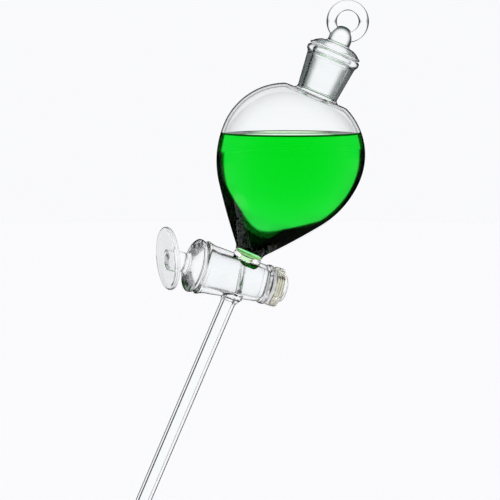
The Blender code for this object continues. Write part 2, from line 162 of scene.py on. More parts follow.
class StageSettings(bpy.types.PropertyGroup):
    floor_gap: size("Floor gap", "Clear height between the stem's tip and the floor", 0.39)
    floor_colour: swatch("Floor", "Pale matt floor", "#F6F6F8")
    floor_glow: FloatProperty(name="Floor glow", default=0.67, min=0.0,
                              description="How far the floor is lit from within")
    bright_to: angle("Bright up to", "Height above the horizon where the surround ends", 45.0)
    camera_distance: size("Camera distance", "From the camera to the middle of the view", 1.3)
    camera_height: angle("Camera elevation", "Angle of the camera above the horizon", 5.3)
    view_width: size("View width", "Width of the view at the funnel", 0.2825)


# ---------------------------------------------------------------- outlines, as (radius, height) points

def arc(centre, radius, start, end, steps):
    """Points on an arc about centre, from angle start to angle end in degrees, both ends included."""
    turns = [math.radians(start + (end - start) * i / steps) for i in range(steps + 1)]
    return [(centre[0] + radius * math.cos(t), centre[1] + radius * math.sin(t)) for t in turns]


def ease(start, end, steps):
    """Points from start to end on a smooth S, upright at both ends, without the start itself."""
    points = []
    for i in range(1, steps + 1):
        part = i / steps
        share = 0.5 - 0.5 * math.cos(math.pi * part)
        points.append((start[0] + (end[0] - start[0]) * share, start[1] + (end[1] - start[1]) * part))
    return points


def straight(start, end, steps):
    """Evenly spaced points from start to end, without the start itself."""
    return [(start[0] + (end[0] - start[0]) * i / steps, start[1] + (end[1] - start[1]) * i / steps)
            for i in range(1, steps + 1)]


# ---------------------------------------------------------------- nodes: trees, lathe and materials

def add_node(tree, kind, settings=None, inputs=None):
    """Adds one node. An input's value is a number, a colour, or the output socket that feeds it."""
    node = tree.nodes.new(kind)
    for name, value in (settings or {}).items():
        setattr(node, name, value)
    for name, value in (inputs or {}).items():
        if isinstance(value, bpy.types.NodeSocket):
            tree.links.new(value, node.inputs[name])
        else:
            node.inputs[name].default_value = value
    return node


def lathe_tree():
    """Geometry Nodes that turn an outline about an axis: the outline is swept round a small spindle."""
    tree = bpy.data.node_groups.get("turn_on_lathe")
    if tree:
        return tree
    tree = bpy.data.node_groups.new("turn_on_lathe", 'GeometryNodeTree')
    for name, kind in (("Outline", 'NodeSocketGeometry'), ("Sides", 'NodeSocketInt'),
                       ("Spindle", 'NodeSocketFloat'), ("Grooves", 'NodeSocketInt'),
                       ("Groove depth", 'NodeSocketFloat'), ("Ribs from", 'NodeSocketFloat'),
                       ("Ribs to", 'NodeSocketFloat'), ("Material", 'NodeSocketMaterial')):
        tree.interface.new_socket(name, in_out='INPUT', socket_type=kind)
    tree.interface.new_socket("Turned", in_out='OUTPUT', socket_type='NodeSocketGeometry')
    given = add_node(tree, 'NodeGroupInput').outputs
    # The outline's height is its -y. Between the two heights its radius waves, but only inwards.
    spot = add_node(tree, 'ShaderNodeSeparateXYZ',
                    inputs={"Vector": add_node(tree, 'GeometryNodeInputPosition').outputs[0]}).outputs
    height = add_node(tree, 'ShaderNodeMath', {"operation": 'MULTIPLY'}, {0: spot["Y"], 1: -1.0}).outputs[0]
    turns = add_node(tree, 'ShaderNodeMath', {"operation": 'MULTIPLY'},
                     {0: given["Grooves"], 1: math.tau}).outputs[0]
    phase = add_node(tree, 'ShaderNodeMapRange', {"clamp": True},
                     {"Value": height, "From Min": given["Ribs from"], "From Max": given["Ribs to"],
                      "To Min": 0.0, "To Max": turns}).outputs["Result"]
    wave = add_node(tree, 'ShaderNodeMath', {"operation": 'COSINE'}, {0: phase}).outputs[0]
    dip = add_node(tree, 'ShaderNodeMath', {"operation": 'MULTIPLY_ADD'},
                   {0: wave, 1: 0.5, 2: -0.5}).outputs[0]
    depth = add_node(tree, 'ShaderNodeMath', {"operation": 'MULTIPLY'},
                     {0: dip, 1: given["Groove depth"]}).outputs[0]
    sink = add_node(tree, 'ShaderNodeCombineXYZ', inputs={"X": depth}).outputs[0]
    ribbed = add_node(tree, 'GeometryNodeSetPosition', inputs={"Geometry": given["Outline"], "Offset": sink})
    outline = add_node(tree, 'GeometryNodeMeshToCurve', inputs={"Mesh": ribbed.outputs[0]})
    spindle = add_node(tree, 'GeometryNodeCurvePrimitiveCircle',
                       inputs={"Resolution": given["Sides"], "Radius": given["Spindle"]})
    upright = add_node(tree, 'GeometryNodeSetCurveNormal', {"mode": 'Z_UP'},
                       {"Curve": spindle.outputs["Curve"]})
    sweep = add_node(tree, 'GeometryNodeCurveToMesh',
                     inputs={"Curve": upright.outputs[0], "Profile Curve": outline.outputs[0]})
    closed = add_node(tree, 'GeometryNodeMergeByDistance',
                      inputs={"Geometry": sweep.outputs[0], "Distance": DOUBLED})
    smooth = add_node(tree, 'GeometryNodeSetShadeSmooth', inputs={"Geometry": closed.outputs[0]})
    single = add_node(tree, 'GeometryNodeRealizeInstances', inputs={"Geometry": smooth.outputs[0]})
    finish = add_node(tree, 'GeometryNodeSetMaterial',
                      inputs={"Geometry": single.outputs[0], "Material": given["Material"]})
    add_node(tree, 'NodeGroupOutput', inputs={"Turned": finish.outputs[0]})
    return tree


def evaluated_mesh(obj):
    bpy.context.view_layer.update()
    graph = bpy.context.evaluated_depsgraph_get()
    return bpy.data.meshes.new_from_object(obj.evaluated_get(graph), depsgraph=graph)


def link(name, mesh):
    obj = bpy.data.objects.new(name, mesh)
    bpy.context.scene.collection.objects.link(obj)
    return obj


def discard(obj):
    mesh = obj.data
    bpy.data.objects.remove(obj)
    bpy.data.meshes.remove(mesh)


def face_outwards(mesh):
    """Turns a closed mesh's faces over where they enclose a negative volume."""
    shape = bmesh.new()
    shape.from_mesh(mesh)
    if shape.calc_volume(signed=True) < 0.0:
        bmesh.ops.reverse_faces(shape, faces=shape.faces)
    shape.to_mesh(mesh)
    shape.free()


def turned(name, outline, material, place, sides, closed=False, ribs=(0, 0.0, 0.0, 1.0)):
    """A solid turned on the lathe from an outline, put in place in its mesh.

    ribs gives how many grooves part the ribs, how deep they are, and the heights that they lie between.
    """
    spindle = 1.0 * MM
    mesh = bpy.data.meshes.new(name)
    points = [(radius - spindle, -height, 0.0) for radius, height in outline]
    edges = [(i, i + 1) for i in range(len(points) - 1)]
    if closed:
        edges.append((len(points) - 1, 0))
    mesh.from_pydata(points, edges, [])
    blank = link(name + "_outline", mesh)
    lathe = blank.modifiers.new("lathe", 'NODES')
    lathe.node_group = lathe_tree()
    sockets = {item.name: item.identifier for item in lathe.node_group.interface.items_tree
               if item.in_out == 'INPUT'}
    lathe[sockets["Sides"]] = sides
    lathe[sockets["Spindle"]] = spindle
    for socket, value in zip(("Grooves", "Groove depth", "Ribs from", "Ribs to"), ribs):
        lathe[sockets[socket]] = value
    lathe[sockets["Material"]] = material
    made = evaluated_mesh(blank)
    discard(blank)
    made.name = name
    made.transform(place)
    face_outwards(made)
    return link(name, made)


def combine(base, steps):
    """Joins other solids to base, or cuts them from it, and uses them up."""
    for other, operation in steps:
        boolean = base.modifiers.new(other.name, 'BOOLEAN')
        boolean.operation = operation
        boolean.solver = 'EXACT'
        boolean.object = other
    mesh = evaluated_mesh(base)
    name = base.name
    discard(base)
    for other, _ in steps:
        discard(other)
    mesh.name = name
    return link(name, mesh)


def tidy_mesh(obj, sharp_angle):
    """Merges what a cut left doubled, and shades the surface smooth up to an angle in degrees."""
    shape = bmesh.new()
    shape.from_mesh(obj.data)
    bmesh.ops.remove_doubles(shape, verts=shape.verts, dist=DOUBLED)
    bmesh.ops.dissolve_degenerate(shape, edges=shape.edges, dist=DOUBLED)
    shape.to_mesh(obj.data)
    shape.free()
    obj.data.shade_smooth()
    obj.data.set_sharp_from_angle(angle=math.radians(sharp_angle))


def grind(obj, material, place, is_ground):
    """Gives the ground finish to the faces that is_ground(radius, height) picks in a frame."""
    obj.data.materials.append(material)
    index = len(obj.data.materials) - 1
    back = place.inverted()
    for face in obj.data.polygons:
        spot = back @ face.center
        if is_ground(spot.xy.length, spot.z):
            face.material_index = index


def new_material(name, constants):
    """A material with these values on the sockets of its main shader."""
    material = bpy.data.materials.new(name)
    material.use_nodes = True
    tree = material.node_tree
    shader = tree.nodes["Principled BSDF"]
    for socket, value in constants.items():
        shader.inputs[socket].default_value = value
    return material, tree, shader


def feed(tree, shader, sources):
    """Links each source to the shader's socket of that name."""
    for socket, source in sources.items():
        tree.links.new(source, shader.inputs[socket])


def mottled(tree, scale, detail, tint, other):
    """A soft noise fixed to the piece, and a tint that wanders with it between two near colours."""
    place = add_node(tree, 'ShaderNodeTexCoord').outputs["Object"]
    noise = add_node(tree, 'ShaderNodeTexNoise',
                     inputs={"Vector": place, "Scale": scale, "Detail": detail}).outputs["Fac"]
    mix = add_node(tree, 'ShaderNodeMix', {"data_type": 'RGBA'},
                   {"Factor": noise, "A": (*tint, 1.0), "B": (*linear(other), 1.0)})
    return place, noise, mix.outputs["Result"]


def shade_edges(tree, clear, edge, share_of_rest):
    """Painted shade: clear where the surface faces the eye, painted dark where it turns away by more than its
    edge_start.

    Glass against a bright surround looks dark where it bends the light furthest. A thin wall does so
    only at its very edge, and a solid rod over a third of its width. Here that dark is painted shade in
    the base colour. The change takes up share_of_rest of what is left between edge_start and edge-on.
    """
    start = add_node(tree, 'ShaderNodeAttribute', {"attribute_name": "edge_start"}).outputs["Fac"]
    facing = add_node(tree, 'ShaderNodeLayerWeight', inputs={"Blend": 0.5}).outputs["Facing"]
    end = add_node(tree, 'ShaderNodeMath', {"operation": 'MULTIPLY_ADD'},
                   {0: start, 1: 1.0 - share_of_rest, 2: share_of_rest}).outputs[0]
    share = add_node(tree, 'ShaderNodeMapRange', {"interpolation_type": 'SMOOTHSTEP'},
                     {"Value": facing, "From Min": start, "From Max": end})
    return add_node(tree, 'ShaderNodeMix', {"data_type": 'RGBA'},
                    {"Factor": share.outputs["Result"], "A": clear,
                     "B": (*linear(edge), 1.0)}).outputs["Result"]


def mark_edges(obj, place, start_at):
    """Stores on each face how far it may turn from the eye before painted shade darkens it, from its centre
    in a frame.
    """
    marks = obj.data.attributes.new("edge_start", 'FLOAT', 'FACE')
    back = place.inverted()
    marks.data.foreach_set("value", [start_at(back @ face.center, face.normal) for face in obj.data.polygons])


UNMIRRORED = (0.0, 0.0, 0.0, 1.0)           # no gloss head-on, where the studio would be mirrored
BOROSILICATE = {"Transmission Weight": 1.0, "IOR": 1.473, "Specular Tint": UNMIRRORED}


def clear_glass():
    """Clear borosilicate glass, blown and fire polished: water white, with a faint waviness and smears, and
    painted shade at its edges.
    """
    material, tree, shader = new_material("borosilicate_glass_fire_polished", BOROSILICATE)
    # Handling leaves a thin film in patches of about 12 mm, which only just dulls the polish.
    place, film, tint = mottled(tree, 85.0, 3.0, bpy.context.scene.finish_settings.glass, "#FDFFFF")
    dull = add_node(tree, 'ShaderNodeMapRange', inputs={"Value": film, "From Min": 0.45, "From Max": 0.75,
                                                       "To Min": 0.0, "To Max": 0.03})
    # The blown wall wanders slowly: one swell in about 18 mm, a few hundredths of a millimetre high.
    swell = add_node(tree, 'ShaderNodeTexNoise', inputs={"Vector": place, "Scale": 55.0, "Detail": 1.0})
    bump = add_node(tree, 'ShaderNodeBump', inputs={"Height": swell.outputs["Fac"], "Strength": 0.1,
                                                   "Distance": 0.05 * MM})
    # Painted shade: the base colour goes dark grey where the wall turns away from the eye.
    feed(tree, shader, {"Base Color": shade_edges(tree, tint, "#2C3232", 0.35),
                        "Roughness": dull.outputs["Result"], "Normal": bump.outputs["Normal"]})
    return material


def ground_glass():
    """The same glass, ground matt with fine grit on the sealing cones: it scatters what it lets through, with
    painted shade at its edges.
    """
    material, tree, shader = new_material("borosilicate_glass_ground", BOROSILICATE)
    # The joint is worn smoother in patches of about 6 mm.
    place, wear, tint = mottled(tree, 160.0, 3.0, bpy.context.scene.finish_settings.frosted, "#FCFEFE")
    matt = add_node(tree, 'ShaderNodeMapRange', inputs={"Value": wear, "From Min": 0.35, "From Max": 0.65,
                                                       "To Min": 0.10, "To Max": 0.17})
    # Grit marks are near 0.05 mm; they are drawn at 0.4 mm so that they show.
    grit = add_node(tree, 'ShaderNodeTexNoise', inputs={"Vector": place, "Scale": 2500.0, "Detail": 2.0})
    bump = add_node(tree, 'ShaderNodeBump', inputs={"Height": grit.outputs["Fac"], "Strength": 0.25,
                                                   "Distance": 0.05 * MM})
    # Painted shade: the base colour goes grey where the ground face turns away from the eye.
    feed(tree, shader, {"Base Color": shade_edges(tree, tint, "#6A7472", 0.35),
                        "Roughness": matt.outputs["Result"], "Normal": bump.outputs["Normal"]})
    return material


def dyed_water():
    """Water with a green dye: clear at a thin edge, deep green through the bulb, with painted near-black
    shade where it turns away from the eye.
    """
    material, tree, shader = new_material("green_dyed_water", {
        "Transmission Weight": 1.0, "IOR": 1.333, "Roughness": 0.0, "Specular Tint": UNMIRRORED})
    # Where the liquid is thin it is a little yellow, more so in patches of about 30 mm.
    tint = mottled(tree, 30.0, 1.0, linear("#FFFFE6"), "#FBFFDE")[2]
    # Painted shade: the base colour goes near-black green where the surface turns away from the eye.
    feed(tree, shader, {"Base Color": shade_edges(tree, tint, "#051A05", 0.02)})
    finish = bpy.context.scene.finish_settings
    dye = add_node(tree, 'ShaderNodeVolumeAbsorption',
                   inputs={"Color": (*finish.liquid, 1.0), "Density": finish.liquid_density})
    tree.links.new(dye.outputs["Volume"], tree.nodes["Material Output"].inputs["Volume"])
    return material


def turned_fluoropolymer():
    """White fluoropolymer turned on a lathe: waxy, softly lit from within, faintly mottled."""
    material, tree, shader = new_material("fluoropolymer_turned", {
        "Subsurface Weight": 0.4, "Subsurface Scale": 1.0 * MM})
    # The tool leaves the sheen uneven over about 2.5 mm.
    _, mottle, tint = mottled(tree, 400.0, 3.0, bpy.context.scene.finish_settings.fluoropolymer, "#F6F6F0")
    sheen = add_node(tree, 'ShaderNodeMapRange', inputs={"Value": mottle, "To Min": 0.32, "To Max": 0.48})
    feed(tree, shader, {"Base Color": tint, "Roughness": sheen.outputs["Result"]})
    return material


def moulded_retainer():
    """Soft clear vinyl, moulded and gone a little yellow: half clear, satin."""
    material, tree, shader = new_material("vinyl_moulded_yellowed", {
        "Transmission Weight": 0.93, "IOR": 1.46, "Specular Tint": UNMIRRORED})
    # It has aged unevenly, in patches of about 4.5 mm.
    _, age, tint = mottled(tree, 220.0, 2.0, bpy.context.scene.finish_settings.retainer, "#FDFCEA")
    satin = add_node(tree, 'ShaderNodeMapRange', inputs={"Value": age, "To Min": 0.06, "To Max": 0.14})
    feed(tree, shader, {"Base Color": tint, "Roughness": satin.outputs["Result"]})
    return material


FINISHES = {}


def finish_named(maker):
    """One material for each finish, made the first time that a piece asks for it."""
    if maker not in FINISHES:
        FINISHES[maker] = maker()
    return FINISHES[maker]


# ---------------------------------------------------------------- glass sizes along the two axes

LIP_TOP = reach("neck_socket", FUNNEL)[1]
SHOULDER_TOP = reach("bulb", FUNNEL)[1]
KEY_CENTRE = (FUNNEL.inverted() @ KEY.translation).z
STEM_TIP = reach("drain_stem", FUNNEL)[0]
PLUG_FOOT = reach("stopper_plug", FUNNEL)[0]
HEAD_RADIUS = widest("stopper_head", FUNNEL)
BARREL_TAIL, BARREL_LIP = reach("stopcock_barrel", KEY)
BARREL_LIP_RADIUS = widest("stopcock_barrel", KEY)
COLLAR_NEAR = reach("key_handle", KEY)[0]
COLLAR_RADIUS = widest("key_handle", KEY)
KNOB_FAR = reach("key_tail", KEY)[0]
KNOB_RADIUS = widest("key_tail", KEY)

# Bulb: two arcs that meet at the widest circle, then a cone and a hollow fillet into the throat
SHOULDER_ARC = 37.5 * MM
SHOULDER_ROUND = 2.5 * MM
BELLY_ARC = 54.0 * MM
BELLY_END = 36.0                            # how steep the belly's arc ends, in degrees off the axis
CONE_ARC = 411.0 * MM                       # the cone is very slightly rounded
CONE_END = 41.0                             # degrees off the axis where the throat's fillet takes over
CONE_FOOT = -59.8 * MM
THROAT_RADIUS = 7.9 * MM
THROAT_WALL = 1.3 * MM
THROAT_FILLET = 6.0 * MM
THROAT_FLOOR = -63.2 * MM
THROAT_ROUND = 1.6 * MM
BOSS_RADIUS = THROAT_RADIUS + 1.7 * MM      # where the throat widens into the barrel
BOSS_FOOT = KEY_CENTRE + 8.0 * MM

# Neck: a conical socket, ground inside, with a rounded lip
LIP_HEIGHT = 4.2 * MM
LIP_FLAT = 3.2 * MM
LIP_ROUND = 1.5 * MM
LIP_UNDERSIDE = 2.0 * MM
LIP_BLEND = 0.8 * MM
NECK_TOP_RADIUS = 14.2 * MM
NECK_FOOT_RADIUS = 11.9 * MM
NECK_FOOT = SHOULDER_TOP + 2.4 * MM
NECK_FILLET = 2.3 * MM
SOCKET_MOUTH = 11.1 * MM
SOCKET_TAPER = math.radians(4.5)
SOCKET_DEPTH = 22.5 * MM
SOCKET_MOUTH_ROUND = 1.0 * MM
SOCKET_FILLET = 2.0 * MM

# Stopcock barrel and key
BARREL_LARGE = 13.6 * MM
BARREL_SMALL = 10.7 * MM
BARREL_FLARE_END = 14.6 * MM
BARREL_MOUTH = 3.4 * MM
BARREL_LIP_WIDTH = 1.6 * MM
BARREL_BEAD_RADIUS = 11.4 * MM
BARREL_BEAD_WIDTH = 3.2 * MM
BARREL_BEAD_ROOT = 0.8 * MM
BARREL_TAIL_EDGE = 0.4 * MM
KEY_LARGE = 10.4 * MM
KEY_TAPER = 0.05
GRIND_GAP = 0.1 * MM                        # the film between the ground faces
SIDE_HOLE = 2.5 * MM
KEY_BORE = 2.0 * MM
KEY_REST_TURN = math.radians(45.0)          # how far the bore stands from open

# Key: a ground plug, a collar, a post with a crooked thumb disc, and a knob on the tail
PLUG_LARGE = 23.8 * MM
PLUG_SMALL = -18.1 * MM
COLLAR_FAR = 30.6 * MM
HANDLE_POST = 5.6 * MM
DISC_CENTRE = 42.6 * MM
DISC_RADIUS = 17.8 * MM
DISC_ROUND = 1.7 * MM
DISC_TILT = math.radians(-18.0)
DISC_YAW = math.radians(7.0)
TAIL_NECK = 5.5 * MM
KNOB_NEAR = -24.7 * MM

# Stem: welded to the barrel with a flare, with a slanting fire-polished tip
WELD_TOP = KEY_CENTRE - 6.0 * MM
WELD_FLARE_TOP = KEY_CENTRE - BARREL_LARGE + 1.6 * MM
WELD_FOOT = KEY_CENTRE - BARREL_LARGE - 3.2 * MM
WELD_FLARE = 2.4 * MM
TIP_LENGTH = 14.0 * MM                      # the part with rings close enough to be slanted

CUT_PAST = 1.0 * MM                         # how far a cutter reaches beyond the glass
DRILL_SIDES = 48
ON_SOCKET = 0.1 * MM                        # a face this near the socket's cone belongs to it
ON_KEY = 0.05 * MM                          # and this near the key's
SHARP = 38.0                                # degrees between faces that make an edge

# How far a face may turn from the eye before its painted edge shade starts: 0 is face on, 1 is edge-on
CLEAR_ALL_ROUND = 0.97
DARK_ALL_ROUND = -0.1
LIP_EDGES = 0.5
NECK_EDGES = 0.15
BULB_EDGES = 0.76
BARREL_EDGES = 0.7
STEM_EDGES = 0.42
WET_EDGES = 0.24
HOOP_EDGES = -0.02
HOOP_CLEARS = 0.7                           # how much less painted shade the hoop's bar gets where it lies level
POST_EDGES = 0.12
PLUG_EDGES = 0.7
DISC_RIM_EDGES = 0.7
HANDLE_EDGES = 0.85
KEY_EDGES = 0.6


def socket_radius(height):
    """Inner radius of the ground neck socket."""
    return SOCKET_MOUTH - min(LIP_TOP - height, SOCKET_DEPTH) * math.tan(SOCKET_TAPER)


def key_radius(along):
    """Radius of the key's ground taper."""
    return KEY_LARGE - (BARREL_LIP - along) * KEY_TAPER


def rod(radius, top, foot):
    """A plain rod, for drilling a hole."""
    return [(0.0, top), (radius, top), (radius, foot), (0.0, foot)]


def bulb_side(bulb_radius, inset):
    """The bulb's side from the edge of its flat shoulder down to the throat, moved inwards by inset."""
    shoulder_centre = bulb_radius - SHOULDER_ARC
    rise = SHOULDER_TOP - SHOULDER_ROUND
    within = SHOULDER_ARC - SHOULDER_ROUND
    turn = math.degrees(math.asin(rise / within))
    round_centre = (shoulder_centre + math.sqrt(within ** 2 - rise ** 2), rise)
    points = arc(round_centre, SHOULDER_ROUND - inset, 90.0, turn, 6)
    points += arc((shoulder_centre, 0.0), SHOULDER_ARC - inset, turn, 0.0, 40)[1:]
    points += arc((bulb_radius - BELLY_ARC, 0.0), BELLY_ARC - inset, 0.0, -BELLY_END, 30)[1:]
    end, slope = math.radians(BELLY_END), math.radians(CONE_END)
    cone_centre = (bulb_radius - BELLY_ARC - (CONE_ARC - BELLY_ARC) * math.cos(end),
                   (CONE_ARC - BELLY_ARC) * math.sin(end))
    points += arc(cone_centre, CONE_ARC - inset, -BELLY_END, -CONE_END, 40)[1:]
    # The fillet starts where the cone's steepest line meets it, and ends upright on the throat.
    edge = (cone_centre[0] + CONE_ARC * math.cos(slope), cone_centre[1] - CONE_ARC * math.sin(slope))
    start_radius = THROAT_RADIUS + THROAT_FILLET * (1.0 - math.cos(slope))
    start_height = edge[1] - (edge[0] - start_radius) / math.tan(slope)
    centre = (THROAT_RADIUS + THROAT_FILLET, start_height - THROAT_FILLET * math.sin(slope))
    points = [point for point in points if point[1] > start_height]
    return points + arc(centre, THROAT_FILLET + inset, 180.0 - CONE_END, 180.0, 12)


def bulb_inside(settings, overlap):
    """The inner surface from the shoulder to the rounded foot of the throat, overlap into the wall."""
    points = bulb_side(settings.bulb_radius, settings.bulb_wall - overlap)
    throat, floor = THROAT_RADIUS - THROAT_WALL + overlap, THROAT_FLOOR - overlap
    points[-1] = (throat, points[-1][1])
    return points + arc((throat - THROAT_ROUND, floor + THROAT_ROUND), THROAT_ROUND, 0.0, -90.0, 8)


def neck_outline():
    """Outside of the neck from the axis over its rounded lip and down to the foot of the taper."""
    lip_radius = bpy.context.scene.vessel_settings.lip_radius
    points = [(0.0, LIP_TOP), (lip_radius - LIP_FLAT, LIP_TOP)]
    points += arc((lip_radius - LIP_ROUND, LIP_TOP - LIP_ROUND), LIP_ROUND, 88.0, 0.0, 8)
    points += arc((lip_radius - LIP_UNDERSIDE, LIP_TOP - LIP_HEIGHT / 2.0), LIP_UNDERSIDE, -6.0, -52.0, 6)
    top = (NECK_TOP_RADIUS, LIP_TOP - LIP_HEIGHT - LIP_BLEND)
    points += [top] + straight(top, (NECK_FOOT_RADIUS, NECK_FOOT), 6)
    points += arc((NECK_FOOT_RADIUS + NECK_FILLET, SHOULDER_TOP + NECK_FILLET), NECK_FILLET, 186.0, 270.0, 8)
    return points


def socket_outline(settings):
    """Inside of the neck, from its ground socket out to the underside of the shoulder."""
    bore = socket_radius(LIP_TOP - SOCKET_DEPTH)
    fillet_top = SHOULDER_TOP - settings.bulb_wall + SOCKET_FILLET
    fillet_edge = bore + 0.1 * MM
    points = [(0.0, LIP_TOP + CUT_PAST), (SOCKET_MOUTH + 1.4 * MM, LIP_TOP + CUT_PAST)]
    points += arc((SOCKET_MOUTH + SOCKET_MOUTH_ROUND, LIP_TOP - 0.8 * MM), SOCKET_MOUTH_ROUND, 90.0, 180.0, 6)
    points += straight(points[-1], (bore, LIP_TOP - SOCKET_DEPTH), 10)
    points += straight(points[-1], (fillet_edge, fillet_top), 2)
    return points + arc((fillet_edge + SOCKET_FILLET, fillet_top), SOCKET_FILLET, 180.0, 270.0, 8)[1:]


def barrel_outside():
    """Outside of the barrel: a flared lip, a long taper, and a bead at the small end."""
    lip = BARREL_LIP_WIDTH / 2.0
    points = [(0.0, BARREL_LIP), (BARREL_LIP_RADIUS - BARREL_MOUTH, BARREL_LIP)]
    points += arc((BARREL_LIP_RADIUS - lip, BARREL_LIP - lip), lip, 90.0, -50.0, 8)
    start = points[-1]
    for i in range(1, 13):
        part = i / 12
        points.append((BARREL_LARGE + (start[0] - BARREL_LARGE) * (1.0 - part) ** 2.2,
                       start[1] + (BARREL_FLARE_END - start[1]) * part))
    bead = BARREL_TAIL + BARREL_BEAD_WIDTH / 2.0
    points += straight(points[-1], (BARREL_SMALL, BARREL_TAIL + BARREL_BEAD_WIDTH + BARREL_BEAD_ROOT), 8)
    swell = BARREL_BEAD_RADIUS - BARREL_SMALL
    for i in range(1, 13):
        turn = math.pi * i / 12
        points.append((BARREL_SMALL + swell * math.sin(turn) ** 0.8,
                       bead + (BARREL_BEAD_WIDTH / 2.0) * math.cos(turn)))
    return points + [(BARREL_SMALL - BARREL_TAIL_EDGE, BARREL_TAIL), (0.0, BARREL_TAIL)]


def bore_outline():
    """The barrel's tapered bore, with the film's gap round the key."""
    near, far = BARREL_LIP + CUT_PAST, BARREL_TAIL - CUT_PAST
    points = [(0.0, near), (key_radius(near) + GRIND_GAP, near)]
    return points + straight(points[-1], (key_radius(far) + GRIND_GAP, far), 12) + [(0.0, far)]


def stem_outline(settings):
    """The drain stem as a tube with a fire-polished end, flared where it is welded to the barrel."""
    outer, bore = settings.stem_radius, settings.stem_bore
    wall = outer - bore
    foot = STEM_TIP + outer
    points = [(outer + WELD_FLARE + 0.2 * MM, WELD_TOP)]
    for i in range(13):
        part = i / 12
        points.append((outer + WELD_FLARE * (1.0 - part) ** 2,
                       WELD_FLARE_TOP + (WELD_FOOT - WELD_FLARE_TOP) * part))
    points += straight(points[-1], (outer, foot + TIP_LENGTH), 12)
    points += straight(points[-1], (outer, foot + wall / 2.0), 10)
    points += arc((bore + wall / 2.0, foot + wall / 2.0), wall / 2.0, 0.0, -180.0, 12)[1:]
    points += straight(points[-1], (bore, foot + TIP_LENGTH), 10)
    return points + straight(points[-1], (bore, WELD_TOP), 6)


def slant_tip(obj):
    """Slopes the end of the stem at 45 degrees, so that its left side is shorter, easing off above it."""
    slant_from, slant_over = 12.0 * MM, 10.0 * MM
    back = FUNNEL.inverted()
    foot = STEM_TIP + bpy.context.scene.vessel_settings.stem_radius
    for vertex in obj.data.vertices:
        spot = back @ vertex.co
        share = min(1.0, max(0.0, (foot + slant_from - spot.z) / slant_over))
        spot.z -= spot.x * share * share * (3.0 - 2.0 * share)
        vertex.co = FUNNEL @ spot


def key_outline():
    """The key from its handle post over the collar, down the ground plug and round the knob on its tail."""
    fillet, fillet_top, collar_foot = 1.8 * MM, COLLAR_FAR + 2.2 * MM, 1.8 * MM
    points = [(0.0, DISC_CENTRE), (HANDLE_POST, DISC_CENTRE)]
    points += straight(points[-1], (HANDLE_POST, fillet_top), 4)
    points += arc((HANDLE_POST + fillet, fillet_top), fillet, 180.0, 250.0, 6)[1:]
    start = points[-1]
    crown = (COLLAR_RADIUS, COLLAR_NEAR + (COLLAR_FAR - COLLAR_NEAR) * 0.45)
    for i in range(1, 17):
        turn = math.pi / 2.0 * i / 16
        points.append((start[0] + (crown[0] - start[0]) * math.sin(turn),
                       crown[1] + (start[1] - crown[1]) * math.cos(turn) ** 1.1))
    foot = (COLLAR_RADIUS - collar_foot, COLLAR_NEAR)
    for i in range(1, 9):
        turn = math.pi / 2.0 * i / 8
        points.append((crown[0] + (foot[0] - crown[0]) * (1.0 - math.cos(turn)),
                       crown[1] + (foot[1] - crown[1]) * math.sin(turn)))
    points += [(key_radius(PLUG_LARGE) + 0.4 * MM, COLLAR_NEAR), (key_radius(PLUG_LARGE), PLUG_LARGE)]
    points += straight(points[-1], (key_radius(PLUG_SMALL), PLUG_SMALL), 16)
    shoulder = PLUG_SMALL - 0.3 * MM
    points += [(key_radius(PLUG_SMALL) - 0.5 * MM, shoulder), (TAIL_NECK, shoulder)]
    points += straight(points[-1], (TAIL_NECK, KNOB_NEAR), 3)
    depth = KNOB_NEAR - KNOB_FAR
    for i in range(17):
        turn = math.pi * i / 16
        points.append((KNOB_RADIUS * math.sin(turn) ** 0.6 if i > 1 else TAIL_NECK + 0.7 * MM * i,
                       KNOB_NEAR - depth * (0.5 - 0.5 * math.cos(turn))))
    points[-1] = (0.0, KNOB_FAR)
    return points


def disc_outline():
    """The thumb disc from axis to axis: two slightly dished faces with a round rim between them."""
    flat, dish, rings = DISC_RADIUS - 3.4 * MM, 0.08 * MM, 12
    face = [(flat * i / rings, DISC_ROUND - dish * (1.0 - (i / rings) ** 2)) for i in range(rings + 1)]
    rim = arc((DISC_RADIUS - DISC_ROUND, 0.0), DISC_ROUND, 90.0, -90.0, 20)
    return face + rim + [(radius, -height) for radius, height in reversed(face)]


# ---------------------------------------------------------------- operators, one for each piece

